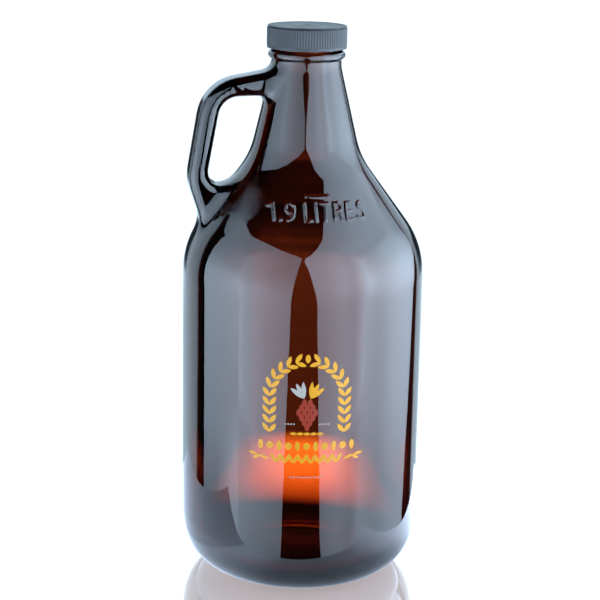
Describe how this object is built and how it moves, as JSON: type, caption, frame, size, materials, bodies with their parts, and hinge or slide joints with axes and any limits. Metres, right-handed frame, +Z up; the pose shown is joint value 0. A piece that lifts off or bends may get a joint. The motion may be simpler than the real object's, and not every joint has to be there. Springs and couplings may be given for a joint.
{
  "type": "growler",
  "caption": "Half-gallon amber glass jug with a moulded finger loop, narrow threaded neck, ribbed screw cap with a foam liner, and a fired enamel emblem.",
  "frame": {"origin": "on the jug's axis, on the surface that it stands on", "axes": "+Z up along the jug's axis, -X towards the handle, -Y towards the capacity mark"},
  "size_m": [0.1232, 0.1233, 0.2827],
  "materials": {
    "amber_glass": "glossy",
    "cap_plastic": "satin",
    "liner_foam": "matte",
    "gold_enamel": "satin",
    "red_enamel": "satin",
    "white_enamel": "satin"
  },
  "bodies": {
    "jug": {"glass_jug": "amber_glass", "gold_enamel_print": "gold_enamel", "red_enamel_print": "red_enamel", "white_enamel_print": "white_enamel"},
    "liner": {"cap_liner": "liner_foam"},
    "cap": {"screw_cap": "cap_plastic"}
  },
  "joints": [
    {"name": "cap_lift", "type": "slide", "parent": "jug", "child": "liner", "axis": [0, 0, 1], "range_m": [0, 0.0128]},
    {"name": "cap_twist", "type": "hinge", "parent": "liner", "child": "cap", "pos_m": [0, 0, 0.2773], "axis": [0, 0, 1], "range_deg": [0, 1080]}
  ],
  "couplings": [
    {"joint": "cap_lift", "follows": "cap_twist", "m_per_rad": 0.00067376}
  ]
}
